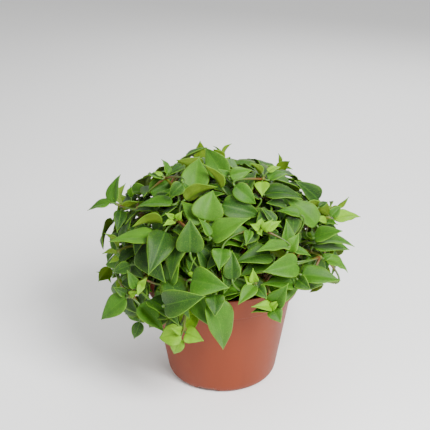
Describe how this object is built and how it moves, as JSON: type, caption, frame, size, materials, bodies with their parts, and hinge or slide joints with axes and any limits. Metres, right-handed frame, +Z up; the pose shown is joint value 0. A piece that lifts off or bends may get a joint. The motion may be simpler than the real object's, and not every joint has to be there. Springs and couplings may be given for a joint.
{
  "type": "potted marcello peperomia",
  "caption": "Bushy, trailing peperomia with pointed fleshy leaves on leafy stems, rooted in dark soil in a tapered terracotta-coloured plastic pot with a collar.",
  "frame": {"origin": "centre of the flat pad under the pot, on the surface that the pot stands on", "axes": "+Z up along the pot's axis, +X to the right and -Y towards the viewer in the picture"},
  "size_m": [0.2004, 0.1944, 0.1803],
  "materials": {
    "pot": "terracotta-coloured moulded plastic, satin outside",
    "soil": "dark loose peat, matt",
    "leaf": "fleshy green leaf with a pale margin, satin; slim red-brown stem"
  },
  "bodies": {
    "root": {"pot": "pot", "soil": "soil", "leafy_stem_01": "leaf", "leafy_stem_02": "leaf", "leafy_stem_03": "leaf", "leafy_stem_04": "leaf", "leafy_stem_05": "leaf", "leafy_stem_06": "leaf", "leafy_stem_07": "leaf", "leafy_stem_08": "leaf", "leafy_stem_09": "leaf", "leafy_stem_10": "leaf", "leafy_stem_11": "leaf", "leafy_stem_12": "leaf", "leafy_stem_13": "leaf", "leafy_stem_14": "leaf", "leafy_stem_15": "leaf", "leafy_stem_16": "leaf", "leafy_stem_17": "leaf", "leafy_stem_18": "leaf", "leafy_stem_19": "leaf", "leafy_stem_20": "leaf", "leafy_stem_21": "leaf", "leafy_stem_22": "leaf", "leafy_stem_23": "leaf", "leafy_stem_24": "leaf", "leafy_stem_25": "leaf", "leafy_stem_26": "leaf", "leafy_stem_27": "leaf", "leafy_stem_28": "leaf"}
  },
  "joints": []
}
